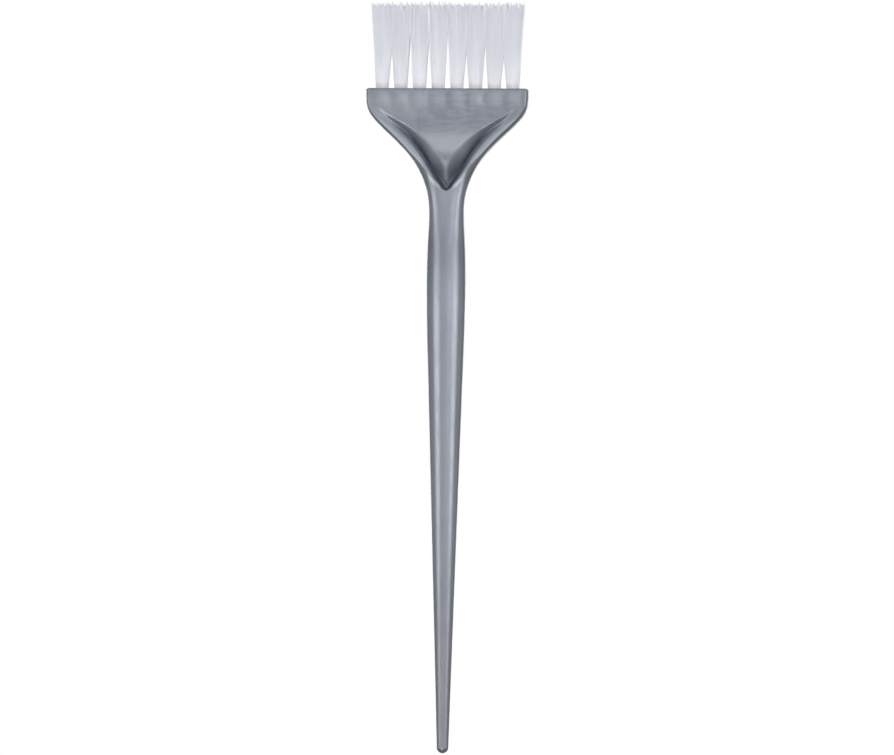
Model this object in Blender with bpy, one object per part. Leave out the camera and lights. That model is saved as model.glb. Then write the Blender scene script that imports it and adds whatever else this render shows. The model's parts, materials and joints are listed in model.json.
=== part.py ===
"""Hairdresser's tint brush: a moulded handle with a flared head, and a row of stapled bristle tufts.

Units are metres. +Z runs up the handle, from the tip of the tail to the bristles, and the front of the
head faces -Y. The origin is on the handle's axis in the middle of the grip. Heights in this file are
measured from the tip of the tail, and up() turns a height into a Z value.
"""

import math

import bmesh
import bpy
import numpy as np

# Handle
HANDLE_LENGTH = 0.1948
GRIP_HEIGHT = 0.1376  # where the grip is fattest, and where the origin is
WAIST_HEIGHT = 0.1587  # the narrowest place, between the grip and the head
HEAD_HEIGHT = 0.1840  # from here up the head keeps its thickness
HEAD_HALF_DEPTH = 0.00425
HEAD_SQUARENESS = 9.0  # exponent of the section: 2 is an ellipse, and 9 a block with soft edges
TAIL_RADIUS = 0.00165
TOP_EDGE_RADIUS = 0.0006
SECTION_SIDES = 32

# Height against half width, from the tail to the top of the head
OUTLINE = (
    (0.0000, TAIL_RADIUS),
    (0.0600, 0.00352),
    (0.1094, 0.00510),
    (GRIP_HEIGHT, 0.00574),
    (WAIST_HEIGHT, 0.00517),
    (0.1669, 0.00650),
    (0.1739, 0.01007),
    (0.1810, 0.01662),
    (0.1857, 0.02142),
    (0.1880, 0.02308),
    (0.1915, 0.02387),
    (HANDLE_LENGTH, 0.02390),
)

# Relief on both faces of the head: a V-shaped groove with a plateau inside it. Across one side of it are
# its crest, on the face, then its crease, the deepest line, then the plateau's edge.
# The curves are of heights against half widths or depths, and a depth below 0 is clear of the face.
RELIEF_HEIGHTS = (0.1662, 0.1675, 0.1690, 0.1710, 0.1735, 0.1769, 0.1798, 0.1827, 0.1850, 0.1870, 0.1890)
RELIEF_TIP_HEIGHT = 0.1649
RELIEF_TIP_DEPTH = 0.0036
CREST_EDGE = (
    (RELIEF_TIP_HEIGHT, 0.0003),
    (0.1681, 0.0042),
    (0.1710, 0.0066),
    (0.1769, 0.0109),
    (0.1827, 0.0165),
    (0.1862, 0.0204),
    (0.1890, 0.0226),
)
CREASE_EDGE = (
    (RELIEF_TIP_HEIGHT, 0.0002),
    (0.1681, 0.0016),
    (0.1710, 0.0036),
    (0.1769, 0.0074),
    (0.1827, 0.0128),
    (0.1862, 0.0174),
    (0.1890, 0.0206),
)
CREASE_DEPTH = (
    (RELIEF_TIP_HEIGHT, RELIEF_TIP_DEPTH),
    (0.1681, 0.0031),
    (0.1710, 0.0027),
    (0.1769, 0.0025),
    (0.1827, 0.0017),
    (0.1862, 0.0006),
    (0.1890, -0.0001),
)
PLATEAU_EDGE = (
    (RELIEF_TIP_HEIGHT, 0.0001),
    (0.1735, 0.0006),
    (0.1769, 0.0027),
    (0.1827, 0.0098),
    (0.1890, 0.0190),
)
PLATEAU_DEPTH = (
    (RELIEF_TIP_HEIGHT, RELIEF_TIP_DEPTH),
    (0.1681, 0.0026),
    (0.1710, 0.0010),
    (0.1735, 0.0004),
    (0.1769, 0.0003),
    (0.1827, 0.0005),
    (0.1862, 0.0003),
    (0.1890, -0.0001),
)
CREST_CLEARANCE = 0.0001
CUTTER_REACH = 0.0120  # how far a cutter stands out past the surface that it cuts

# Tufts and what holds them
TUFTS = 8
TUFT_PITCH = 0.00548
HOLE_RADIUS = 0.0019
HOLE_DEPTH = 0.0080
GAP = 0.0003  # between pieces that touch
ROOT_SIDES = 16
ANCHOR_THICKNESS = 0.0003
ANCHOR_LENGTH = 0.0042
ANCHOR_TALL = 0.0016
ANCHOR_CHAMFER = 0.0004
ANCHOR_HEIGHT = HANDLE_LENGTH - HOLE_DEPTH + 0.0018  # the anchor's lower edge
PIVOT_HEIGHT = HANDLE_LENGTH + 0.0020
TUFT_TOP_HEIGHT = HANDLE_LENGTH + 0.0250
TUFT_RADIUS = 0.00172
TUFT_TOP_HALF_WIDTH = (TUFT_PITCH - GAP) / 2
TUFT_TOP_HALF_DEPTH = 0.0029
TUFT_TOP_SQUARENESS = 4.0
TUFT_SIDES = 16


def clear_scene():
    for obj in list(bpy.data.objects):
        bpy.data.objects.remove(obj)


def up(height):
    """The Z value of a height above the tip of the tail."""
    return height - GRIP_HEIGHT


def ease(low, high, value):
    """0 below low, 1 above high, and a smooth rise between them."""
    t = min(max((value - low) / (high - low), 0.0), 1.0)
    return t * t * (3 - 2 * t)


def read_curve(knots, at):
    """The value at one place of a smooth curve through the knots, which never overshoots them."""
    places, values = np.array(knots).T
    steps = np.diff(places)
    slopes = np.diff(values) / steps
    tangents = np.zeros(len(places))
    tangents[0] = slopes[0]
    tangents[-1] = slopes[-1]
    for i in range(1, len(places) - 1):
        before, after = slopes[i - 1], slopes[i]
        if before * after > 0:
            tangents[i] = 2 * before * after / (before + after)
    i = int(np.clip(np.searchsorted(places, at) - 1, 0, len(steps) - 1))
    t = (at - places[i]) / steps[i]
    start = values[i] * (1 + 2 * t) * (1 - t) ** 2 + tangents[i] * steps[i] * t * (1 - t) ** 2
    end = values[i + 1] * t * t * (3 - 2 * t) + tangents[i + 1] * steps[i] * t * t * (t - 1)
    return float(start + end)


def section(half_width, half_depth, squareness, sides):
    """Points of one closed section, anticlockwise from +X: an ellipse at squareness 2, then blockier."""
    points = []
    for side in range(sides):
        angle = 2 * math.pi * side / sides
        c, s = math.cos(angle), math.sin(angle)
        reach = (abs(c) ** squareness + abs(s) ** squareness) ** (-1 / squareness)
        points.append((half_width * reach * c, half_depth * reach * s))
    return points


def loft(name, rings, tip=None):
    """A closed mesh through rings of (points, z), from the lowest up, with an optional point below."""
    bm = bmesh.new()
    loops = [[bm.verts.new((x, y, z)) for x, y in points] for points, z in rings]
    sides = len(loops[0])
    for lower, upper in zip(loops, loops[1:]):
        for i in range(sides):
            j = (i + 1) % sides
            bm.faces.new((lower[i], lower[j], upper[j], upper[i]))
    bm.faces.new(loops[-1])
    if tip is None:
        bm.faces.new(loops[0][::-1])
    else:
        point = bm.verts.new(tip)
        for i in range(sides):
            bm.faces.new((point, loops[0][(i + 1) % sides], loops[0][i]))
    return finished_mesh(name, bm)


def finished_mesh(name, bm):
    bmesh.ops.recalc_face_normals(bm, faces=bm.faces)
    mesh = bpy.data.meshes.new(name)
    bm.to_mesh(mesh)
    bm.free()
    return mesh


def make_material(name, colour, roughness, metallic=0.0):
    material = bpy.data.materials.new(name)
    material.use_nodes = True
    shader = material.node_tree.nodes["Principled BSDF"]
    shader.inputs["Base Color"].default_value = (*colour, 1.0)
    shader.inputs["Roughness"].default_value = roughness
    shader.inputs["Metallic"].default_value = metallic
    return material


def place(name, mesh, location=(0, 0, 0), parent=None):
    obj = bpy.data.objects.new(name, mesh)
    obj.location = location
    obj.parent = parent
    bpy.context.scene.collection.objects.link(obj)
    return obj


def add_cutter(name, mesh):
    cutter = place(name, mesh)
    cutter.hide_render = True
    cutter.display_type = "WIRE"
    return cutter


def cut(obj, cutter):
    modifier = obj.modifiers.new(cutter.name, "BOOLEAN")
    modifier.operation = "DIFFERENCE"
    modifier.object = cutter


def handle_half_width(height):
    return read_curve(OUTLINE, height)


def handle_half_depth(height):
    """The handle is round up to its waist, and from there it flattens to the head's thickness."""
    if height <= WAIST_HEIGHT:
        return handle_half_width(height)
    waist = handle_half_width(WAIST_HEIGHT)
    return waist + (HEAD_HALF_DEPTH - waist) * ease(WAIST_HEIGHT, HEAD_HEIGHT, height)


def handle_ring(height, inset=0.0):
    squareness = 2 + (HEAD_SQUARENESS - 2) * ease(WAIST_HEIGHT, HEAD_HEIGHT, height)
    width = handle_half_width(height) - inset
    depth = handle_half_depth(height) - inset
    return section(width, depth, squareness, SECTION_SIDES), up(height)


def handle_rings():
    rings = []
    for degrees in (25, 50, 75):
        turn = math.radians(degrees)
        rings.append(handle_ring(TAIL_RADIUS * (1 - math.cos(turn)), TAIL_RADIUS * (1 - math.sin(turn))))
    edge_start = HANDLE_LENGTH - TOP_EDGE_RADIUS
    spans = (
        (TAIL_RADIUS, 0.1094, 6),
        (0.1094, WAIST_HEIGHT, 9),
        (WAIST_HEIGHT, 0.1880, 15),
        (0.1880, edge_start, 4),
    )
    for low, high, count in spans:
        rings += [handle_ring(height) for height in np.linspace(low, high, count, endpoint=False)]
    for degrees in (0, 30, 60, 90):
        turn = math.radians(degrees)
        height = edge_start + TOP_EDGE_RADIUS * math.sin(turn)
        rings.append(handle_ring(height, TOP_EDGE_RADIUS * (1 - math.cos(turn))))
    return rings


def relief_row(height, side):
    """Points across the relief's floor at one height, from crest to crest, on the face that side says."""
    face = handle_half_depth(height)
    half = [
        (read_curve(CREST_EDGE, height), face + CREST_CLEARANCE),
        (read_curve(CREASE_EDGE, height), face - read_curve(CREASE_DEPTH, height)),
        (read_curve(PLATEAU_EDGE, height), face - read_curve(PLATEAU_DEPTH, height)),
    ]
    left = [(-x, side * y, up(height)) for x, y in half]
    right = [(x, side * y, up(height)) for x, y in half[::-1]]
    return left + right


def relief_cutter_mesh(side):
    """The space in the relief: its inner side is the relief's floor, and its outer side is clear."""
    bm = bmesh.new()
    outer_y = side * CUTTER_REACH
    tip_y = side * (handle_half_depth(RELIEF_TIP_HEIGHT) - RELIEF_TIP_DEPTH)
    tip = bm.verts.new((0, tip_y, up(RELIEF_TIP_HEIGHT)))
    outer_tip = bm.verts.new((0, outer_y, up(RELIEF_TIP_HEIGHT)))
    floor = [[bm.verts.new(p) for p in relief_row(height, side)] for height in RELIEF_HEIGHTS]
    outer = [[bm.verts.new((v.co.x, outer_y, v.co.z)) for v in row] for row in floor]
    steps = range(len(floor[0]) - 1)
    for rows, point in ((floor, tip), (outer, outer_tip)):
        for i in steps:
            bm.faces.new((point, rows[0][i], rows[0][i + 1]))
        for lower, upper in zip(rows, rows[1:]):
            for i in steps:
                bm.faces.new((lower[i], lower[i + 1], upper[i + 1]))
                bm.faces.new((lower[i], upper[i + 1], upper[i]))
    for i in steps:
        bm.faces.new((floor[-1][i], floor[-1][i + 1], outer[-1][i + 1], outer[-1][i]))
    for end in (0, -1):
        bm.faces.new((tip, floor[0][end], outer[0][end], outer_tip))
        for low, high, out_low, out_high in zip(floor, floor[1:], outer, outer[1:]):
            bm.faces.new((low[end], high[end], out_high[end], out_low[end]))
    return finished_mesh("relief_cutter", bm)


def tuft_x(number):
    """The X value of a tuft's centre, for tufts numbered 1 to TUFTS from -X to +X."""
    return (number - (TUFTS + 1) / 2) * TUFT_PITCH


def hole_cutter_mesh():
    """The blind holes: one upright cylinder for each tuft."""
    bm = bmesh.new()
    bottom = up(HANDLE_LENGTH - HOLE_DEPTH)
    top = up(HANDLE_LENGTH) + CUTTER_REACH
    for number in range(1, TUFTS + 1):
        made = bmesh.ops.create_cone(
            bm,
            cap_ends=True,
            segments=ROOT_SIDES,
            radius1=HOLE_RADIUS,
            radius2=HOLE_RADIUS,
            depth=top - bottom,
        )
        bmesh.ops.translate(bm, verts=made["verts"], vec=(tuft_x(number), 0, (top + bottom) / 2))
    return finished_mesh("hole_cutter", bm)


def seat_cutter_mesh():
    """The seats that the anchors cut for themselves: one box round each, a gap larger on every side."""
    bm = bmesh.new()
    size = (ANCHOR_THICKNESS + 2 * GAP, ANCHOR_LENGTH + 2 * GAP, ANCHOR_TALL + 2 * GAP)
    for number in range(1, TUFTS + 1):
        made = bmesh.ops.create_cube(bm, size=1.0)
        bmesh.ops.scale(bm, verts=made["verts"], vec=size)
        middle = up(ANCHOR_HEIGHT) + ANCHOR_TALL / 2
        bmesh.ops.translate(bm, verts=made["verts"], vec=(tuft_x(number), 0, middle))
    return finished_mesh("seat_cutter", bm)


def anchor_mesh():
    """A flat strip across the hole, front to back, with its two lower corners cut off to drive it in."""
    half_length, half_thickness = ANCHOR_LENGTH / 2, ANCHOR_THICKNESS / 2
    outline = (
        (-half_length + ANCHOR_CHAMFER, 0),
        (half_length - ANCHOR_CHAMFER, 0),
        (half_length, ANCHOR_CHAMFER),
        (half_length, ANCHOR_TALL),
        (-half_length, ANCHOR_TALL),
        (-half_length, ANCHOR_CHAMFER),
    )
    bm = bmesh.new()
    face = bm.faces.new([bm.verts.new((-half_thickness, y, z)) for y, z in outline])
    made = bmesh.ops.extrude_face_region(bm, geom=[face])
    moved = [v for v in made["geom"] if isinstance(v, bmesh.types.BMVert)]
    bmesh.ops.translate(bm, verts=moved, vec=(ANCHOR_THICKNESS, 0, 0))
    return finished_mesh("anchor", bm)


def root_mesh():
    """The folded stretch of a tuft that fills its hole, from a gap above the bottom to the mouth."""
    radius = HOLE_RADIUS - GAP
    points = section(radius, radius, 2, ROOT_SIDES)
    return loft("tuft_root", [(points, GAP), (points, HOLE_DEPTH)])


def tuft_mesh():
    """The free stretch of a tuft, with the pivot at the origin: a round end, then a slow flare."""
    rings = []
    for degrees in (25, 50, 75):
        turn = math.radians(degrees)
        radius = TUFT_RADIUS * math.sin(turn)
        rings.append((section(radius, radius, 2, TUFT_SIDES), -TUFT_RADIUS * math.cos(turn)))
    length = TUFT_TOP_HEIGHT - PIVOT_HEIGHT
    for share in (0.0, 0.25, 0.5, 0.75, 1.0):
        width = TUFT_RADIUS + (TUFT_TOP_HALF_WIDTH - TUFT_RADIUS) * share
        depth = TUFT_RADIUS + (TUFT_TOP_HALF_DEPTH - TUFT_RADIUS) * share
        squareness = 2 + (TUFT_TOP_SQUARENESS - 2) * share
        rings.append((section(width, depth, squareness, TUFT_SIDES), length * share))
    return loft("tuft", rings, tip=(0, 0, -TUFT_RADIUS))


def build_handle(plastic, holes, seats):
    mesh = loft("handle", handle_rings(), tip=(0, 0, up(0)))
    mesh.materials.append(plastic)
    handle = place("handle", mesh)
    cut(handle, add_cutter("front_relief_cutter", relief_cutter_mesh(-1)))
    cut(handle, add_cutter("back_relief_cutter", relief_cutter_mesh(1)))
    cut(handle, holes)
    cut(handle, seats)
    mesh.shade_smooth()
    mesh.set_sharp_from_angle(angle=math.radians(40))
    return handle


def build_anchors(metal, handle):
    mesh = anchor_mesh()
    mesh.materials.append(metal)
    for number in range(1, TUFTS + 1):
        place(f"anchor_{number}", mesh, (tuft_x(number), 0, up(ANCHOR_HEIGHT)), handle)


def build_roots(nylon, handle, seats):
    mesh = root_mesh()
    mesh.materials.append(nylon)
    mesh.shade_smooth()
    mesh.set_sharp_from_angle(angle=math.radians(40))
    for number in range(1, TUFTS + 1):
        location = (tuft_x(number), 0, up(HANDLE_LENGTH - HOLE_DEPTH))
        cut(place(f"tuft_root_{number}", mesh, location, handle), seats)


def build_tufts(nylon, handle):
    """The free tufts, each with its origin on the axis that it bends about."""
    mesh = tuft_mesh()
    mesh.materials.append(nylon)
    mesh.shade_smooth()
    mesh.set_sharp_from_angle(angle=math.radians(40))
    for number in range(1, TUFTS + 1):
        place(f"tuft_{number}", mesh, (tuft_x(number), 0, up(PIVOT_HEIGHT)), handle)


def main():
    clear_scene()
    plastic = make_material("handle_plastic", (0.30, 0.33, 0.38), 0.35, 0.25)
    bristle_nylon = make_material("bristle_nylon", (0.78, 0.79, 0.84), 0.45)
    root_nylon = make_material("root_nylon", (0.70, 0.71, 0.75), 0.5)
    metal = make_material("anchor_metal", (0.72, 0.60, 0.36), 0.3, 1.0)
    holes = add_cutter("hole_cutter", hole_cutter_mesh())
    seats = add_cutter("seat_cutter", seat_cutter_mesh())
    handle = build_handle(plastic, holes, seats)
    build_anchors(metal, handle)
    build_roots(root_nylon, handle, seats)
    build_tufts(bristle_nylon, handle)


main()
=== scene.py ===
import json
import math

import bmesh
import bpy
import numpy as np
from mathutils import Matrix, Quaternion, Vector

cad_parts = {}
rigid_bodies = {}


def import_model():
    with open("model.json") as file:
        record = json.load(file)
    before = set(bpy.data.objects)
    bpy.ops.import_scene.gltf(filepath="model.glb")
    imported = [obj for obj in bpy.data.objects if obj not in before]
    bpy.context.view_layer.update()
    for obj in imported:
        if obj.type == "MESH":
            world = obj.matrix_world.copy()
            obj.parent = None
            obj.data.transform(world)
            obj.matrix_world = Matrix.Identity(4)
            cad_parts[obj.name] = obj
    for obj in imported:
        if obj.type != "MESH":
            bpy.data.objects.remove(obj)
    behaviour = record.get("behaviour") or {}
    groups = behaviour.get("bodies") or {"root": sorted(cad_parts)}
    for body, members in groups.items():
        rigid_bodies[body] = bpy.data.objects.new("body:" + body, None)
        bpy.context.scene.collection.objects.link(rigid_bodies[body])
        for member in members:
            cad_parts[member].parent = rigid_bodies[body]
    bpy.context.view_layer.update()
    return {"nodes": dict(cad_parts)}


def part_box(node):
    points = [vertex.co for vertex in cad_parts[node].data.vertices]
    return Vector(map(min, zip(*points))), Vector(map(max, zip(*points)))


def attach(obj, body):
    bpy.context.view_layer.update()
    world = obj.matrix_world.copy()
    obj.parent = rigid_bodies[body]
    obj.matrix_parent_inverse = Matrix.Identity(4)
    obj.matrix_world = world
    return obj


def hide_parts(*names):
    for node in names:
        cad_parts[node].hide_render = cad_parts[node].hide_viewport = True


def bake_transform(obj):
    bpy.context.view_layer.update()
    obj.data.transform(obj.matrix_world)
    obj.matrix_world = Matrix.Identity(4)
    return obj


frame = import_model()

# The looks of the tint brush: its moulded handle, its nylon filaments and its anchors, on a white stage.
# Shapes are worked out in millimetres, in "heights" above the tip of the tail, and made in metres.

MM = 0.001
TAIL_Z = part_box("handle")[0].z
HANDLE_LENGTH = (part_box("handle")[1].z - TAIL_Z) / MM
BRISTLE_LENGTH = (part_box("tuft_1")[1].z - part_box("handle")[1].z) / MM
TUFTS = sum(1 for name in frame["nodes"] if name.startswith("tuft_root_"))


def node_middle(name):
    low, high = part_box(name)
    return (low + high) / 2


TUFT_X = [node_middle(f"tuft_root_{number}").x / MM for number in range(1, TUFTS + 1)]
TUFT_PITCH = (TUFT_X[-1] - TUFT_X[0]) / (TUFTS - 1)

# ---------------------------------------------------------------- handle shape, in millimetres
WAIST_HEIGHT = 158.7
SQUARER_LOW, SQUARER_HIGH = 146.0, 164.0  # over this span the round section becomes squarer
BLOCK_LOW, BLOCK_HIGH = 163.0, 176.0  # and over this one a block with round edges
HEAD_HEIGHT = 184.0  # from here up the head keeps its thickness
HEAD_HALF_DEPTH = 4.25
TAIL_RADIUS = 1.65
TOP_RADIUS = 0.5
EDGE_REACH = ((0.0, 1.4), (166.0, 1.4), (171.0, 1.15), (176.9, 1.0), (188.0, 1.0), (HANDLE_LENGTH, 1.0))
EDGE_POWER = 2.3  # 2 is a quarter ellipse, and more is blockier

OUTLINE = (
    (0.0, TAIL_RADIUS),
    (30.0, 2.56),
    (60.0, 3.52),
    (109.4, 5.10),
    (137.6, 5.74),
    (150.5, 5.45),
    (WAIST_HEIGHT, 5.17),
    (164.5, 5.80),
    (169.2, 7.37),
    (173.9, 10.07),
    (181.0, 16.62),
    (185.7, 21.42),
    (188.0, 23.08),
    (191.5, 23.87),
    (HANDLE_LENGTH, 23.90),
)

# Relief on both faces: a crest along each flank, a crease inside it, and a plateau between the creases.
# Each table is of heights and values. The plateau turns down within FLANK_WIDTH of its crease.
RELIEF_LOW = 164.9
RELIEF_TOP = 190.0
CREST = ((RELIEF_LOW, 0.0), (165.5, 1.6), (166.4, 2.6), (168.1, 4.2), (171.0, 6.6), (176.9, 10.9),
         (182.7, 16.5), (186.2, 20.4), (RELIEF_TOP, 23.0))
CREASE = ((RELIEF_LOW, 0.0), (168.1, 1.7), (171.0, 3.7), (176.9, 7.4), (182.7, 12.8), (186.2, 17.4),
          (RELIEF_TOP, 21.3))
PLATEAU_DEPTH = ((RELIEF_LOW, 2.0), (168.0, 1.3), (171.0, 0.65), (174.0, 0.22), (176.5, 0.10), (178.0, 0.13),
                 (180.0, 0.27), (181.3, 0.36), (182.4, 0.41), (183.4, 0.38), (184.8, 0.25), (186.2, 0.11),
                 (187.6, 0.03), (RELIEF_TOP, 0.0))
CREASE_DEPTH = ((RELIEF_LOW, 2.7), (168.0, 2.8), (171.0, 2.8), (174.0, 2.6), (176.9, 2.6), (180.0, 2.4),
                (182.7, 1.75), (186.2, 0.60), (188.0, 0.15), (RELIEF_TOP, 0.0))
FLANK_WIDTH = ((RELIEF_LOW, 4.0), (176.9, 3.9), (182.7, 2.2), (186.2, 1.4), (RELIEF_TOP, 1.2))
FLANK_POWER = 1.6
RIDGE_ROUNDING = 1.0  # where the two flanks meet, at the point of the V
LIP_POWER = 2.0
CREASE_SOFTNESS = 0.14
CREASE_STEPS = (-2, -1, 0, 1, 2)  # the half softnesses over which the relief is averaged, each way
BULGE = 0.34
BAND_LOW, BAND_HIGH = 187.0, 194.8
CROWN_HEIGHT = 192.6
CROWN_DEPTH = 0.12

COLUMNS_FLAT, COLUMNS_EDGE = 76, 24  # in each quarter of a ring
# Stretches of evenly spaced rings: from, to and how many
RING_SPANS = ((TAIL_RADIUS, 110.0, 50), (110.0, 160.0, 40), (160.0, HANDLE_LENGTH - TOP_RADIUS, 135))

HOLE_GAP = 0.34  # round the folded part of a tuft
HOLE_FLOOR_GAP = 0.3
HOLE_CHAMFER = 0.10
HOLE_SIDES = 40
SEAT_GAP = 0.3  # round an anchor

# Painted highlights: how bright each is, and the heights between which it comes in and then fades out.
# Over the tuft holes the painted highlight stays up to the top.
PLATEAU_HIGHLIGHT = 1.5, (174.5, 177.5, 179.5, 183.5)
LEFT_BAND_HIGHLIGHT = 0.6, (184.0, 188.0, 191.0, 193.5)
GRIP_HIGHLIGHT = 0.8, (15.0, 70.0, 130.0, 149.0)
NECK_HIGHLIGHT = 0.6, (148.0, 160.0, 163.0, 168.0)
OVER_HOLE_HIGHLIGHT = 0.7


def ease(low, high, value):
    t = np.clip((value - low) / (high - low), 0.0, 1.0)
    return t * t * (3 - 2 * t)


def spline(knots):
    """A smooth curve through the knots, as a function that takes an array."""
    x, y = np.array(knots, float).T
    gaps = np.diff(x)
    slopes = np.diff(y) / gaps
    count = len(x)
    matrix, right = np.zeros((count, count)), np.zeros(count)
    matrix[0, 0] = matrix[-1, -1] = 1.0
    for i in range(1, count - 1):
        matrix[i, i - 1 : i + 2] = gaps[i - 1], 2 * (gaps[i - 1] + gaps[i]), gaps[i]
        right[i] = 6 * (slopes[i] - slopes[i - 1])
    bend = np.linalg.solve(matrix, right)

    def read(value):
        value = np.clip(value, x[0], x[-1])
        i = np.clip(np.searchsorted(x, value) - 1, 0, count - 2)
        before, after, gap = value - x[i], x[i + 1] - value, gaps[i]
        curved = (bend[i] * after**3 + bend[i + 1] * before**3) / (6 * gap)
        low = (y[i] / gap - bend[i] * gap / 6) * after
        high = (y[i + 1] / gap - bend[i + 1] * gap / 6) * before
        return curved + low + high

    return read


half_width = spline(OUTLINE)
crest_x, crease_x = spline(CREST), spline(CREASE)
plateau_depth, crease_depth, flank_width = spline(PLATEAU_DEPTH), spline(CREASE_DEPTH), spline(FLANK_WIDTH)
edge_reach = spline(EDGE_REACH)


def half_depth(height):
    """Half the thickness: as deep as it is wide up to the waist, then easing to the depth of the head."""
    waist = half_width(np.array(WAIST_HEIGHT))
    flat = waist + (HEAD_HALF_DEPTH - waist) * ease(WAIST_HEIGHT, HEAD_HEIGHT, height)
    return np.where(height <= WAIST_HEIGHT, half_width(height), flat)


def relief_at(x, height):
    """Depth of the relief below the face.

    The plateau ends in a flank down to the crease, and a lip rises from there to the crest.
    """
    across = np.abs(x)
    crest = np.maximum(crest_x(height), 0.002)
    crease = np.clip(crease_x(height), 0.001, crest * 0.95)
    plateau, floor = plateau_depth(height), crease_depth(height)
    slant = (crease_x(height + 0.1) - crease_x(height - 0.1)) / 0.2
    inwards = np.maximum(crease - np.hypot(x, RIDGE_ROUNDING), 0.0) / np.sqrt(1 + slant**2)
    flank = plateau + (floor - plateau) * np.clip(1 - inwards / flank_width(height), 0.0, 1.0) ** FLANK_POWER
    lip = floor * np.clip((crest - across) / (crest - crease), 0.0, 1.0) ** LIP_POWER
    inside = (height > RELIEF_LOW) & (height < RELIEF_TOP)
    return np.where(inside, np.maximum(np.where(across < crease, flank, lip), 0.0), 0.0)


def soft_relief(x, height):
    """The relief with its creases rounded: an average over a small neighbourhood."""
    total, weights = 0.0, 0.0
    step = CREASE_SOFTNESS / 2
    for i in CREASE_STEPS:
        for j in CREASE_STEPS:
            weight = math.exp(-(i * i + j * j) / 2.5)
            total = total + weight * relief_at(x + i * step, height + j * step)
            weights += weight
    return total / weights


def over_hole(x):
    """From 0 between two tuft holes to 1 over the middle of one."""
    return 0.5 + 0.5 * np.cos(2 * math.pi * (x - TUFT_X[0]) / TUFT_PITCH)


def bulges(x, height):
    """Low swellings over the tuft holes, in the band along the top of the head."""
    phase = over_hole(x) ** 0.7
    band = ease(BAND_LOW, BAND_LOW + 4.5, height) * (1 - 0.6 * ease(BAND_HIGH - 1.5, BAND_HIGH, height))
    ends = 1 - ease(TUFT_X[-1] + TUFT_PITCH / 2, TUFT_X[-1] + TUFT_PITCH * 0.7, np.abs(x))
    return BULGE * phase * band * ends


def handle_ring_places():
    """Heights of the rings, and how far each is set in, from the tip of the tail to the top."""
    turn = np.radians(np.arange(8, 90, 8))
    cap = [(TAIL_RADIUS * (1 - math.cos(t)), TAIL_RADIUS * (1 - math.sin(t))) for t in turn]
    body = []
    for low, high, count in RING_SPANS:
        body += [(height, 0.0) for height in np.linspace(low, high, count, endpoint=False)]
    turn = np.radians(np.arange(0, 91, 10))
    top = HANDLE_LENGTH - TOP_RADIUS
    edge = [(top + TOP_RADIUS * math.sin(t), TOP_RADIUS * (1 - math.cos(t))) for t in turn]
    return np.array(cap + body + edge).T


def quarter_depth(x, width, reach, power):
    """How deep a section is at x, as a share of its full depth: flat, then round over its last reach."""
    along = np.clip((x - (width - reach)) / reach, 0, 1)
    return (1 - along**power) ** (1 / power)


def handle_quarter(height, inset):
    """Points from the middle of the front to the side, as arrays of rings by columns."""
    width = (half_width(height) - inset)[:, None]
    depth = (half_depth(height) - inset)[:, None]
    slope = ((half_width(height + 0.1) - half_width(height - 0.1)) / 0.2)[:, None]
    blockiness = ease(BLOCK_LOW, BLOCK_HIGH, height)[:, None]
    squareness = 2 + 0.9 * ease(SQUARER_LOW, SQUARER_HIGH, height)[:, None]
    edge = width + (edge_reach(height)[:, None] * np.sqrt(1 + slope**2) - width) * blockiness
    edge = np.minimum(edge, width)
    turn = np.linspace(0, math.pi / 2, COLUMNS_FLAT + COLUMNS_EDGE + 1)
    flat_x = (width - edge) * np.arange(COLUMNS_FLAT) / COLUMNS_FLAT
    edge_x = width - edge + edge * np.sin(np.linspace(0, math.pi / 2, COLUMNS_EDGE + 1)) ** (2 / EDGE_POWER)
    round_x = width * np.sin(turn) ** (2 / squareness)
    x = round_x + (np.concatenate([flat_x, edge_x], axis=1) - round_x) * blockiness
    round_y = quarter_depth(x, width, width, squareness)
    block_y = quarter_depth(x, width, edge, 2 + (EDGE_POWER - 2) * blockiness)
    return x, depth * (round_y + (block_y - round_y) * blockiness)


def handle_points():
    height, inset = handle_ring_places()
    x, y = handle_quarter(height, inset)
    high = np.broadcast_to(height[:, None], x.shape)
    facing = np.clip(y / half_depth(high), 0, 1) ** 2  # the relief and bulges fade round the edge
    crown = CROWN_DEPTH * np.clip((high - CROWN_HEIGHT) / (HANDLE_LENGTH - CROWN_HEIGHT), 0, 1) ** 2
    y = y - soft_relief(x, high) * np.minimum(1, facing * 3) + (bulges(x, high) - crown) * facing
    front_right = np.stack([x, -y, high], axis=2)
    back_right = np.stack([x, y, high], axis=2)[:, ::-1]
    back_left = np.stack([-x, y, high], axis=2)
    front_left = np.stack([-x, -y, high], axis=2)[:, ::-1]
    return np.concatenate(
        [front_right[:, :-1], back_right[:, :-1], back_left[:, :-1], front_left[:, :-1]], axis=1
    )


def to_metres(points):
    """Millimetres and heights to the frame's metres."""
    made = np.asarray(points, float) * MM
    made[..., 2] += TAIL_Z
    return made


def level(height):
    """A height above the tip of the tail, in the frame's metres."""
    return TAIL_Z + height * MM


def new_object(name, mesh):
    obj = bpy.data.objects.new(name, mesh)
    bpy.context.scene.collection.objects.link(obj)
    return obj


def object_from(name, bm):
    mesh = bpy.data.meshes.new(name)
    bm.to_mesh(mesh)
    bm.free()
    return new_object(name, mesh)


def make_handle():
    rings = handle_points()
    count, sides = rings.shape[:2]
    points = np.concatenate([to_metres(rings).reshape(-1, 3), to_metres([[0.0, 0.0, 0.0]])])
    tip = count * sides
    faces = []
    for ring in range(count - 1):
        base = ring * sides
        for side in range(sides):
            after = (side + 1) % sides
            faces.append((base + side, base + after, base + sides + after, base + sides + side))
    faces += [(tip, (side + 1) % sides, side) for side in range(sides)]
    faces.append(tuple(range((count - 1) * sides, count * sides)))
    mesh = bpy.data.meshes.new("brush_handle")
    mesh.from_pydata(points.tolist(), [], faces)
    mesh.update()
    return new_object("brush_handle", mesh)


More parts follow.
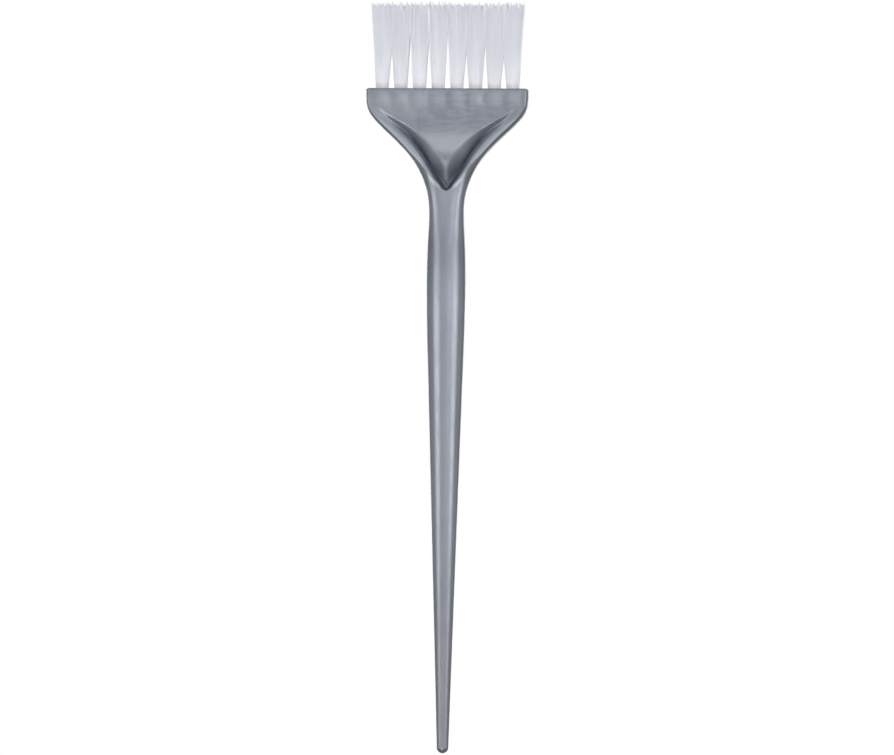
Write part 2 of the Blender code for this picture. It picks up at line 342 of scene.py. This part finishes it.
def cut_holes(handle):
    """Blind holes with a drilled bottom and a small chamfer at the mouth.

    Each anchor's box overlaps its hole in the one cutter, so it cuts no seat in the wall: the solver leaves
    it in the handle as a closed shell of its own.
    """
    bm = bmesh.new()
    for number in range(1, TUFTS + 1):
        low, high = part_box(f"tuft_root_{number}")
        anchor_low, anchor_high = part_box(f"anchor_{number}")
        middle = (low + high) / 2
        radius = (high.x - low.x) / 2 / MM + HOLE_GAP
        bottom = (low.z - TAIL_Z) / MM - HOLE_FLOOR_GAP
        wide = radius + HOLE_CHAMFER * 2
        turned = [(radius * 0.5, bottom), (radius, bottom + 0.25), (radius, HANDLE_LENGTH - HOLE_CHAMFER),
                  (wide, HANDLE_LENGTH + HOLE_CHAMFER), (wide, HANDLE_LENGTH + 4)]
        add_turned(bm, middle.x / MM, turned, HOLE_SIDES)
        gap = Vector((SEAT_GAP, SEAT_GAP, SEAT_GAP)) * MM
        add_box(bm, anchor_low - gap, anchor_high + gap)
    bmesh.ops.recalc_face_normals(bm, faces=bm.faces)
    cutter = object_from("hole_cutter", bm)
    modifier = handle.modifiers.new("holes", "BOOLEAN")
    modifier.operation = "DIFFERENCE"
    modifier.object = cutter
    modifier.solver = "MANIFOLD"
    apply_modifiers(handle)
    bpy.data.objects.remove(cutter)


def add_turned(bm, x, profile, sides):
    rings = []
    for radius, height in profile:
        turn = [2 * math.pi * side / sides for side in range(sides)]
        ring = to_metres([(x + radius * math.cos(t), radius * math.sin(t), height) for t in turn])
        rings.append([bm.verts.new(point) for point in ring])
    for lower, upper in zip(rings, rings[1:]):
        for side in range(sides):
            after = (side + 1) % sides
            bm.faces.new((lower[side], lower[after], upper[after], upper[side]))
    bm.faces.new(rings[0])
    bm.faces.new(rings[-1])


def add_box(bm, low, high):
    made = bmesh.ops.create_cube(bm, size=1.0)
    bmesh.ops.scale(bm, verts=made["verts"], vec=high - low)
    bmesh.ops.translate(bm, verts=made["verts"], vec=(low + high) / 2)


def apply_modifiers(obj):
    graph = bpy.context.evaluated_depsgraph_get()
    mesh = bpy.data.meshes.new_from_object(obj.evaluated_get(graph))
    obj.modifiers.clear()
    obj.data = mesh


def soft_line(distance, width):
    """1 on a line, falling smoothly to nearly 0 at two widths from it."""
    return np.exp(-((distance / width) ** 2))


def patch(height, strength, span):
    """A strength that comes in between the first two heights of the span and fades between the last two."""
    come_low, come_high, fade_low, fade_high = span
    return strength * ease(come_low, come_high, height) * (1 - ease(fade_low, fade_high, height))


def head_face(x, height):
    """1 on the face of the head, and 0 on the handle and along the side edges of the head."""
    side_edge = ease(0.93, 1.0, np.abs(x) / half_width(height))
    return (1 - side_edge) * ease(RELIEF_LOW - 1.0, RELIEF_LOW + 2.0, height)


def painted_highlight_at(x, height):
    """How strong the painted highlight is, lightening the plastic's colour: most of all along the crests."""
    across = np.abs(x)
    crest_width = 0.75 + 0.10 * ease(168.0, 176.0, height)
    brightness = 2.4 - 0.7 * ease(173.0, 178.0, height)
    crest = brightness * soft_line(across - crest_x(height), crest_width)
    crest = crest * (1 - ease(184.0, 188.0, height)) * head_face(x, height)
    plateau = patch(height, *PLATEAU_HIGHLIGHT) * ease(0.5, 3.5, crease_x(height) - across)
    left_band = patch(height, *LEFT_BAND_HIGHLIGHT) * (1 - ease(-17.0, 6.0, x))
    over_holes = OVER_HOLE_HIGHLIGHT * over_hole(x) ** 1.5 * ease(BAND_LOW, BAND_LOW + 4.0, height)
    handle = patch(height, *GRIP_HIGHLIGHT) + patch(height, *NECK_HIGHLIGHT)
    return crest + plateau + left_band + over_holes + handle


def painted_shade_at(x, height):
    """How dark the painted shade is, darkening the plastic's colour: along the creases, and all over the
    point of the V.
    """
    across = np.abs(x)
    from_crease = across - crease_x(height)
    crease = 0.2 * soft_line(from_crease, 1.2) * (1 - ease(178.0, 187.0, height))
    crease += 0.8 * soft_line(from_crease, 0.35) * (1 - ease(176.0, 184.0, height))
    point = (1 - ease(-1.3, -0.4, across - crest_x(height))) * (1 - ease(168.0, 176.0, height))
    point *= 0.65 + 0.35 * soft_line(across, 0.9)
    return np.maximum(crease, point) * head_face(x, height)


def mark_painted_light(handle):
    """Point attributes for the material: where a painted highlight lightens it, and where painted shade
    darkens it.
    """
    points = np.empty(len(handle.data.vertices) * 3)
    handle.data.vertices.foreach_get("co", points)
    x, _, z = points.reshape(-1, 3).T
    x, height = x / MM, (z - TAIL_Z) / MM
    for name, values in (("painted_highlight", painted_highlight_at(x, height)), ("painted_shade", painted_shade_at(x, height))):
        layer = handle.data.attributes.new(name, "FLOAT", "POINT")
        layer.data.foreach_set("value", values)


# ---------------------------------------------------------------- filaments, in millimetres
# The folded filaments of a tuft, counted across and through it. Each has one leg in each half of the tuft.
STRAND_COLUMNS, STRAND_ROWS = 14, 20
STRAND_RADIUS = 0.075
STRAND_SIDES = 5
STRAND_JITTER = 0.15  # as a share of the spacing
ROW_STAGGER = 0.25  # the same, to one side and the other in turn
WANDER_ACROSS, WANDER_THROUGH = 0.012, 0.02  # how much each filament bows on its own
BASE_RADIUS = 1.84
TOP_HALF_DEPTH = 2.8
# Heights above the head at which neighbouring tufts close up, from -X to +X
NOTCHES = (9.7, 12.9, 12.0, 14.4, 8.8, 10.9, 7.9)
NOTCH_OVERLAP = 1.45  # the most that a tuft's edge leans, where 1 is as far as its neighbour's edge
NOTCH_OPENING = 0.35  # how much higher a gap closes at the back than at the front, as a share
OUTER_LEAN = (1.10, 1.15)  # how far the two ends of the row spread at the tips
OUTER_CURL = 0.35  # how much further the outermost filaments turn out
TIP_TRIM, TIP_SCATTER = 0.15, 0.65  # how far a tip falls short: always, and at random
TIP_THROUGH = 0.12  # how much the unevenness of the tips varies from front to back
# How many waves, their lowest and highest rate, and their size
TIP_WAVES = (12, 3.0, 12.0, 0.62)
SWAY_ACROSS, SWAY_THROUGH = (5, 0.4, 1.2, 0.06), (5, 0.4, 1.2, 0.08)
STATIONS = np.array((0.0, 0.10, 0.24, 0.40, 0.58, 0.76, 0.90, 0.96, 1.0))  # along a filament's free stretch
TAPER = np.array((1.0, 1.0, 1.0, 1.0, 1.0, 1.0, 0.95, 0.85, 0.45))
FOLD_NEAREST, FOLD_SPREAD = 0.26, 1.05  # from the anchor's middle to the nearest filament, and on to the last
FOLD_HALF_DEPTH = 1.45
FOLD_DROP = 0.12  # of the nearest filament under the anchor
FOLD_END = 0.7  # how far above the anchor, and below the mouth of the hole, the fold's own points end


def waves(rng, count, low, high, size):
    """A smooth random function of a place, as a sum of sines."""
    rates = rng.uniform(low, high, (count, 3)) * rng.choice((-1, 1), (count, 3))
    phases = rng.uniform(0, 2 * math.pi, count)

    def read(x, y, z):
        turn = x[..., None] * rates[:, 0] + y[..., None] * rates[:, 1] + z[..., None] * rates[:, 2] + phases
        return size * np.sin(turn).sum(axis=-1) / math.sqrt(count)

    return read


def tuft_edge(number, side, rise, v):
    """The side edge of a tuft at each height above the head: it leans over its neighbour's edge and past it.

    The gap closes first at the front and later towards the back, where v is 1.
    """
    base = TUFT_X[number] + side * BASE_RADIUS
    notch = number if side > 0 else number - 1
    if 0 <= notch < TUFTS - 1:
        meeting = (TUFT_X[notch] + TUFT_X[notch + 1]) / 2 - side * STRAND_RADIUS
        closing = NOTCHES[notch] * (1 + NOTCH_OPENING * (v[:, None] + 1) / 2)
        return base + (meeting - base) * np.minimum(rise / closing, NOTCH_OVERLAP)
    return base + side * OUTER_LEAN[0 if side < 0 else 1] * (rise / BRISTLE_LENGTH) ** 0.85


def leg_points(number, u, v, length, sway_x, sway_y, rng):
    """The free stretch of each filament of one half of a tuft, from the mouth of its hole to its tip."""
    rise = length[:, None] * STATIONS
    flare = np.broadcast_to(STATIONS**0.9, rise.shape)
    square = np.broadcast_to(1 - (1 - STATIONS) ** 2.5, rise.shape)
    left, right = tuft_edge(number, -1, rise, v), tuft_edge(number, 1, rise, v)
    base_u, base_v = u * np.sqrt(1 - v * v / 2), v * np.sqrt(1 - u * u / 2)
    across = base_u[:, None] + (u - base_u)[:, None] * square
    through = base_v[:, None] + (v - base_v)[:, None] * square
    x = left + (right - left) * (across + 1) / 2
    y = through * (BASE_RADIUS + (TOP_HALF_DEPTH - BASE_RADIUS) * flare)
    bow = np.sin(math.pi * STATIONS) + 0.7 * STATIONS**2
    calm = 1 - 0.8 * np.abs(u)[:, None] ** 2
    x = x + sway_x(x, y * 0.6, rise * 0.25) * bow * calm
    x = x + rng.normal(0, WANDER_ACROSS, u.shape)[:, None] * bow
    y = y + sway_y(x, y * 0.6, rise * 0.25) * bow
    y = y + rng.normal(0, WANDER_THROUGH, u.shape)[:, None] * bow
    if number in (0, TUFTS - 1):
        outer = np.clip((np.abs(u) - 0.80) / 0.20, 0, 1) * (np.sign(u) == (1 if number else -1))
        x = x + np.sign(u)[:, None] * OUTER_CURL * outer[:, None] * STATIONS**3
    return np.stack([x, y, HANDLE_LENGTH + rise], axis=-1)


def fold_points(number, u, v, first, last):
    """The stretch in the hole: down one side of the anchor, under it, and up the other side."""
    low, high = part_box(f"anchor_{number + 1}")
    anchor_low, anchor_high = (low.z - TAIL_Z) / MM, (high.z - TAIL_Z) / MM
    centre = TUFT_X[number]
    out, sink = FOLD_NEAREST + u * FOLD_SPREAD, FOLD_DROP + u * FOLD_SPREAD
    y = v * FOLD_HALF_DEPTH * np.sqrt(1 - 0.45 * u * u)
    full = np.ones_like(u)
    near_mouth = full * (HANDLE_LENGTH - FOLD_END)
    above, beside = full * (anchor_high + FOLD_END), full * anchor_low
    corner_x, corner_z = out * 0.7, anchor_low - sink * 0.75
    parts = [
        (first[:, 0], first[:, 1] * 0.97, near_mouth),
        (centre - out, y, above),
        (centre - out, y, beside),
        (centre - corner_x, y, corner_z),
        (centre * full, y, anchor_low - sink),
        (centre + corner_x, y, corner_z),
        (centre + out, y, beside),
        (centre + out, y, above),
        (last[:, 0], last[:, 1] * 0.97, near_mouth),
    ]
    return np.stack([np.stack(part, axis=-1) for part in parts], axis=1)


def sweep(paths, radii):
    """Rings of thin tubes along the paths, as an array of paths by points by sides by 3."""
    ahead = np.gradient(paths, axis=1)
    ahead /= np.linalg.norm(ahead, axis=2)[..., None]
    across = np.cross(ahead, np.array((0.0, 1.0, 0.0)))
    across /= np.linalg.norm(across, axis=2)[..., None]
    other = np.cross(ahead, across)
    turn = np.arange(STRAND_SIDES) * 2 * math.pi / STRAND_SIDES
    around = across[:, :, None] * np.cos(turn)[:, None] + other[:, :, None] * np.sin(turn)[:, None]
    return paths[:, :, None] + around * radii[None, :, None, None]


def tube_faces(tubes, rings):
    """Side and end faces of the swept tubes."""
    faces = []
    sides = np.arange(STRAND_SIDES)
    after = (sides + 1) % STRAND_SIDES
    for tube in range(tubes):
        start = tube * rings * STRAND_SIDES
        for ring in range(rings - 1):
            base = start + ring * STRAND_SIDES
            above = base + STRAND_SIDES
            quads = np.stack([base + sides, base + after, above + after, above + sides])
            faces += quads.T.tolist()
        faces.append((start + sides)[::-1].tolist())
        faces.append((start + (rings - 1) * STRAND_SIDES + sides).tolist())
    return faces


def make_tuft(number, tips):
    rng = np.random.default_rng(100 + number)
    sway_x, sway_y = waves(rng, *SWAY_ACROSS), waves(rng, *SWAY_THROUGH)
    column, row = np.meshgrid(np.arange(STRAND_COLUMNS), np.arange(STRAND_ROWS), indexing="ij")
    column, row = column.ravel() + 0.5, row.ravel() + 0.5
    column = column + ROW_STAGGER * np.where(row % 2 > 1, 1, -1)
    legs = []
    for side in (-1, 1):
        u = (column + rng.uniform(-STRAND_JITTER, STRAND_JITTER, column.shape)) / STRAND_COLUMNS
        v = 2 * (row + rng.uniform(-STRAND_JITTER, STRAND_JITTER, row.shape)) / STRAND_ROWS - 1
        u, v = np.clip(u, 0.0, 1.0), np.clip(v, -1.0, 1.0)
        place = TUFT_X[number] + side * u * TUFT_PITCH / 2
        uneven = tips(place, v * TIP_THROUGH, 0 * v) - np.abs(rng.normal(0, TIP_SCATTER, u.shape))
        length = BRISTLE_LENGTH - TIP_TRIM + uneven
        legs.append(leg_points(number, side * u, v, length, sway_x, sway_y, rng))
    u, v = column / STRAND_COLUMNS, 2 * row / STRAND_ROWS - 1
    fold = fold_points(number, np.clip(u, 0, 1), v, legs[0][:, 0], legs[1][:, 0])
    paths = np.concatenate([legs[0][:, ::-1], fold, legs[1]], axis=1)
    radii = np.concatenate([TAPER[::-1], np.ones(fold.shape[1]), TAPER]) * STRAND_RADIUS
    points = to_metres(sweep(paths, radii)).reshape(-1, 3)
    mesh = bpy.data.meshes.new(f"bristles_{number + 1}")
    mesh.from_pydata(points.tolist(), [], tube_faces(len(paths), paths.shape[1]))
    mesh.update()
    mesh.shade_smooth()
    return new_object(f"bristles_{number + 1}", mesh)


# ---------------------------------------------------------------- materials
def put(tree, kind, inputs=None, **settings):
    """Add a node: its inputs are values, or sockets to link from."""
    node = tree.nodes.new(kind)
    for name, value in settings.items():
        setattr(node, name, value)
    for key, value in (inputs or {}).items():
        if isinstance(value, bpy.types.NodeSocket):
            tree.links.new(value, node.inputs[key])
        else:
            node.inputs[key].default_value = value
    return node


def start_material(name):
    material = bpy.data.materials.new(name)
    material.use_nodes = True
    tree = material.node_tree
    place = put(tree, "ShaderNodeTexCoord").outputs["Object"]
    return material, tree, tree.nodes["Principled BSDF"], place


def stretched(tree, place, x, y, z, turn=0.0):
    """Object coordinates in cycles per millimetre along each axis, turned in the plane of the face."""
    inputs = {"Vector": place, "Scale": (x / MM, y / MM, z / MM), "Rotation": (0.0, math.radians(turn), 0.0)}
    return put(tree, "ShaderNodeMapping", inputs, vector_type="POINT").outputs["Vector"]


def noise(tree, vector, detail=3.0, distortion=0.0):
    inputs = {"Vector": vector, "Scale": 1.0, "Detail": detail, "Distortion": distortion}
    return put(tree, "ShaderNodeTexNoise", inputs).outputs["Fac"]


def between(tree, value, low, high, out_low=0.0, out_high=1.0):
    """The value's place from low to high, smoothly, as a number from out_low to out_high."""
    inputs = {"Value": value, "From Min": low, "From Max": high, "To Min": out_low, "To Max": out_high}
    return put(tree, "ShaderNodeMapRange", inputs, interpolation_type="SMOOTHSTEP").outputs["Result"]


def maths(tree, operation, first, second):
    return put(tree, "ShaderNodeMath", {0: first, 1: second}, operation=operation).outputs[0]


def blended(tree, factor, first, second):
    """A colour from first to second. A colour mix keeps its factor at socket 0 and its colours at 6 and 7."""
    inputs = {0: factor, 6: first, 7: second}
    return put(tree, "ShaderNodeMix", inputs, data_type="RGBA").outputs[2]


def bumped(tree, shader, height, distance, strength):
    bump = put(tree, "ShaderNodeBump", {"Height": height, "Distance": distance * MM, "Strength": strength})
    tree.links.new(bump.outputs["Normal"], shader.inputs["Normal"])


def flow_marks(tree, place):
    """Wisps where the melt folded as it filled the head: strongest right of the middle."""
    warped = noise(tree, stretched(tree, place, 0.060, 0.060, 0.20, 14.0), 3.0, 2.4)
    from_fold = maths(tree, "ABSOLUTE", maths(tree, "SUBTRACT", warped, 0.5), 0.0)
    wisps = between(tree, from_fold, 0.0, 0.13, 1.0, 0.0)
    axes = put(tree, "ShaderNodeSeparateXYZ", {"Vector": place})
    above = between(tree, axes.outputs["Z"], level(174), level(183))
    aside = maths(tree, "ABSOLUTE", maths(tree, "SUBTRACT", axes.outputs["X"], 4 * MM), 0.0)
    inside = between(tree, aside, 7 * MM, 19 * MM, 1.0, 0.12)
    return maths(tree, "MULTIPLY", wisps, maths(tree, "MULTIPLY", above, inside))


def pearl_plastic():
    material, tree, shader, place = start_material("pearl_plastic")
    cloud = noise(tree, stretched(tree, place, 0.16, 0.16, 0.05), 3.0, 1.0)
    streaks = noise(tree, stretched(tree, place, 1.1, 1.1, 0.05), 3.0, 0.4)
    mica = noise(tree, stretched(tree, place, 7.0, 7.0, 7.0), 2.0)
    wisps = flow_marks(tree, place)
    painted_highlight = put(tree, "ShaderNodeAttribute", attribute_name="painted_highlight").outputs["Fac"]
    painted_shade = put(tree, "ShaderNodeAttribute", attribute_name="painted_shade").outputs["Fac"]
    grain = maths(tree, "ADD", maths(tree, "MULTIPLY", streaks, 0.25), maths(tree, "MULTIPLY", mica, 0.25))
    tone = between(tree, maths(tree, "ADD", maths(tree, "MULTIPLY", cloud, 0.55), grain), 0.35, 0.80)
    colour = blended(tree, tone, (0.226, 0.244, 0.284, 1), (0.290, 0.311, 0.360, 1))
    colour = blended(tree, maths(tree, "MULTIPLY", wisps, 0.5), colour, (0.33, 0.35, 0.40, 1))
    # painted highlight: a lighter colour along the crests, the plateau, the grip, the neck and over the tuft
    # holes
    colour = blended(tree, maths(tree, "MULTIPLY", painted_highlight, 0.45), colour, (0.42, 0.445, 0.495, 1))
    # painted shade: a near-black colour in the creases and over the point of the V
    colour = blended(tree, painted_shade, colour, (0.10, 0.11, 0.13, 1))
    height = put(tree, "ShaderNodeSeparateXYZ", {"Vector": place}).outputs["Z"]
    tail = between(tree, height, level(0), level(75), 0.55, 0.0)
    colour = blended(tree, tail, colour, (0.300, 0.297, 0.322, 1))
    tree.links.new(colour, shader.inputs["Base Color"])
    shine = between(tree, noise(tree, stretched(tree, place, 0.5, 0.5, 0.2), 3.0, 0.5), 0.3, 0.7, 0.37, 0.43)
    shine = maths(tree, "SUBTRACT", shine, maths(tree, "MULTIPLY", painted_highlight, 0.04))
    tree.links.new(shine, shader.inputs["Roughness"])
    relief = maths(tree, "ADD", maths(tree, "MULTIPLY", mica, 0.5), maths(tree, "MULTIPLY", wisps, 0.4))
    bumped(tree, shader, relief, 0.02, 0.35)
    shader.inputs["Metallic"].default_value = 0.85
    shader.inputs["Coat Weight"].default_value = 0.10
    shader.inputs["Coat Roughness"].default_value = 0.28
    return material


def nylon():
    material, tree, shader, place = start_material("nylon")
    each = put(tree, "ShaderNodeNewGeometry").outputs["Random Per Island"]
    along = noise(tree, stretched(tree, place, 2.5, 2.5, 0.12), 2.0)
    height = put(tree, "ShaderNodeSeparateXYZ", {"Vector": place}).outputs["Z"]
    tone = maths(tree, "ADD", maths(tree, "MULTIPLY", each, 0.5), maths(tree, "MULTIPLY", along, 0.5))
    colour = blended(tree, tone, (0.90, 0.92, 0.985, 1), (0.925, 0.94, 0.99, 1))
    rooted = between(tree, height, level(HANDLE_LENGTH - 1), level(HANDLE_LENGTH + 9), 1.0, 0.0)
    colour = blended(tree, maths(tree, "MULTIPLY", rooted, 0.65), colour, (0.83, 0.83, 0.855, 1))
    # painted shade: the tips are made slightly darker
    tip = between(tree, height, level(HANDLE_LENGTH + 17), level(HANDLE_LENGTH + 25))
    colour = blended(tree, maths(tree, "MULTIPLY", tip, 0.25), colour, (0.86, 0.88, 0.96, 1))
    tree.links.new(colour, shader.inputs["Base Color"])
    tree.links.new(between(tree, along, 0.3, 0.7, 0.36, 0.52), shader.inputs["Roughness"])
    bumped(tree, shader, noise(tree, stretched(tree, place, 12.0, 12.0, 3.0), 2.0), 0.004, 0.3)
    return material


def brass():
    material, tree, shader, place = start_material("anchor_brass")
    tarnish = noise(tree, stretched(tree, place, 0.9, 0.9, 0.9), 4.0, 0.8)
    scratches = noise(tree, stretched(tree, place, 1.0, 1.2, 22.0), 3.0)
    tone = maths(tree, "ADD", maths(tree, "MULTIPLY", tarnish, 0.7), maths(tree, "MULTIPLY", scratches, 0.3))
    colour = blended(tree, between(tree, tone, 0.35, 0.65), (0.42, 0.30, 0.13, 1), (0.78, 0.60, 0.30, 1))
    tree.links.new(colour, shader.inputs["Base Color"])
    tree.links.new(between(tree, tarnish, 0.3, 0.7, 0.45, 0.25), shader.inputs["Roughness"])
    bumped(tree, shader, scratches, 0.01, 0.4)
    shader.inputs["Metallic"].default_value = 1.0
    return material


def give(obj, material):
    obj.data.materials.clear()
    obj.data.materials.append(material)


# ---------------------------------------------------------------- stage, lights and camera
VIEW_WIDTH = 262.21  # millimetres across the view, at the brush
VIEW_HEIGHT = 110.2  # of the middle of the view
VIEW_SIDE = 0.48
CAMERA_DISTANCE = 1.3  # metres
CAMERA_AZIMUTH = 3.0  # degrees, as the roll
CAMERA_ROLL = 0.44
SENSOR = 36.0
BACKDROP_RADIUS, FLOOR_RADIUS, FLOOR_DROP = 4.0, 3.5, 0.03  # metres


def make_camera():
    data = bpy.data.cameras.new("camera")
    data.sensor_width = SENSOR
    data.lens = CAMERA_DISTANCE / MM * SENSOR / VIEW_WIDTH
    camera = new_object("camera", data)
    turn = math.radians(CAMERA_AZIMUTH)
    back = Vector((math.sin(turn), -math.cos(turn), 0.0))
    right = Vector((math.cos(turn), math.sin(turn), 0.0))
    target = right * VIEW_SIDE * MM + Vector((0.0, 0.0, level(VIEW_HEIGHT)))
    camera.location = target + back * CAMERA_DISTANCE
    camera.rotation_mode = "QUATERNION"
    roll = Quaternion((0.0, 0.0, 1.0), math.radians(CAMERA_ROLL))
    camera.rotation_quaternion = (-back).to_track_quat("-Z", "Y") @ roll
    bpy.context.scene.camera = camera


def make_stage():
    bm = bmesh.new()
    bmesh.ops.create_icosphere(bm, subdivisions=4, radius=BACKDROP_RADIUS)
    backdrop = object_from("backdrop", bm)
    bm = bmesh.new()
    bmesh.ops.create_circle(bm, cap_ends=True, segments=96, radius=FLOOR_RADIUS)
    floor = object_from("floor", bm)
    floor.location.z = TAIL_Z - FLOOR_DROP
    white = bpy.data.materials.new("white_stage")
    white.use_nodes = True
    nodes = white.node_tree.nodes
    nodes.clear()
    glow = nodes.new("ShaderNodeEmission")
    out = nodes.new("ShaderNodeOutputMaterial")
    white.node_tree.links.new(glow.outputs["Emission"], out.inputs["Surface"])
    for obj in (backdrop, floor):
        give(obj, white)
        obj.visible_diffuse = False
        obj.visible_glossy = False
        obj.visible_transmission = False
        obj.visible_shadow = False


def add_light(name, azimuth, elevation, distance, width, height, watts):
    data = bpy.data.lights.new(name, "AREA")
    data.shape = "RECTANGLE"
    data.size, data.size_y = width, height
    data.energy = watts
    light = new_object(name, data)
    a, e = math.radians(azimuth), math.radians(elevation)
    centre = Vector((0.0, 0.0, level(VIEW_HEIGHT)))
    back = Vector((math.sin(a) * math.cos(e), -math.cos(a) * math.cos(e), math.sin(e)))
    light.location = centre + back * distance
    light.rotation_mode = "QUATERNION"
    light.rotation_quaternion = (-back).to_track_quat("-Z", "Y")
    light.visible_camera = False


# name, azimuth and elevation in degrees, distance, width and height in metres, watts
LIGHTS = (
    ("front_low", 2, 6, 2.0, 2.2, 0.70, 3.88),
    ("front_high", 0, 30, 2.0, 2.6, 1.1, 5.78),
    ("left_strip", -55, -2, 2.0, 1.35, 0.60, 6.91),
    ("left_high", -62, 30, 2.0, 1.4, 1.0, 6.81),
    ("right_strip", 58, 0, 2.0, 1.15, 0.60, 6.91),
    ("right_high", 62, 30, 2.0, 1.4, 1.0, 8.64),
    ("near_strip", 25, 3, 1.9, 0.5, 0.38, 1.58),
    ("side_left", -108, 4, 2.0, 0.8, 1.6, 1.23),
    ("side_right", 108, 4, 2.0, 0.8, 1.6, 1.40),
    ("table_bounce", -8, -30, 2.0, 1.6, 0.40, 10.07),
    ("back_softbox", 183, 12, 2.0, 2.0, 1.6, 26.00),
    ("top", 0, 80, 2.0, 1.4, 1.4, 3.00),
)


def make_lights():
    for light in LIGHTS:
        add_light(*light)
    world = bpy.data.worlds.new("room")
    world.use_nodes = True
    background = world.node_tree.nodes["Background"]
    background.inputs["Color"].default_value = (1.0, 1.0, 1.0, 1.0)
    background.inputs["Strength"].default_value = 0.26
    bpy.context.scene.world = world
    bpy.context.scene.view_settings.view_transform = "Standard"


def main():
    handle = make_handle()
    cut_holes(handle)
    mark_painted_light(handle)
    handle.data.shade_smooth()
    handle.data.set_sharp_from_angle(angle=math.radians(45))
    give(handle, pearl_plastic())
    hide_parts("handle")
    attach(handle, "handle")
    bristle_material = nylon()
    tips = waves(np.random.default_rng(7), *TIP_WAVES)
    for number in range(TUFTS):
        tuft = make_tuft(number, tips)
        give(tuft, bristle_material)
        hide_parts(f"tuft_root_{number + 1}", f"tuft_{number + 1}")
        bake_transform(tuft)
    metal = brass()
    for number in range(1, TUFTS + 1):
        give(bpy.data.objects[f"anchor_{number}"], metal)
    make_stage()
    make_lights()
    make_camera()


main()
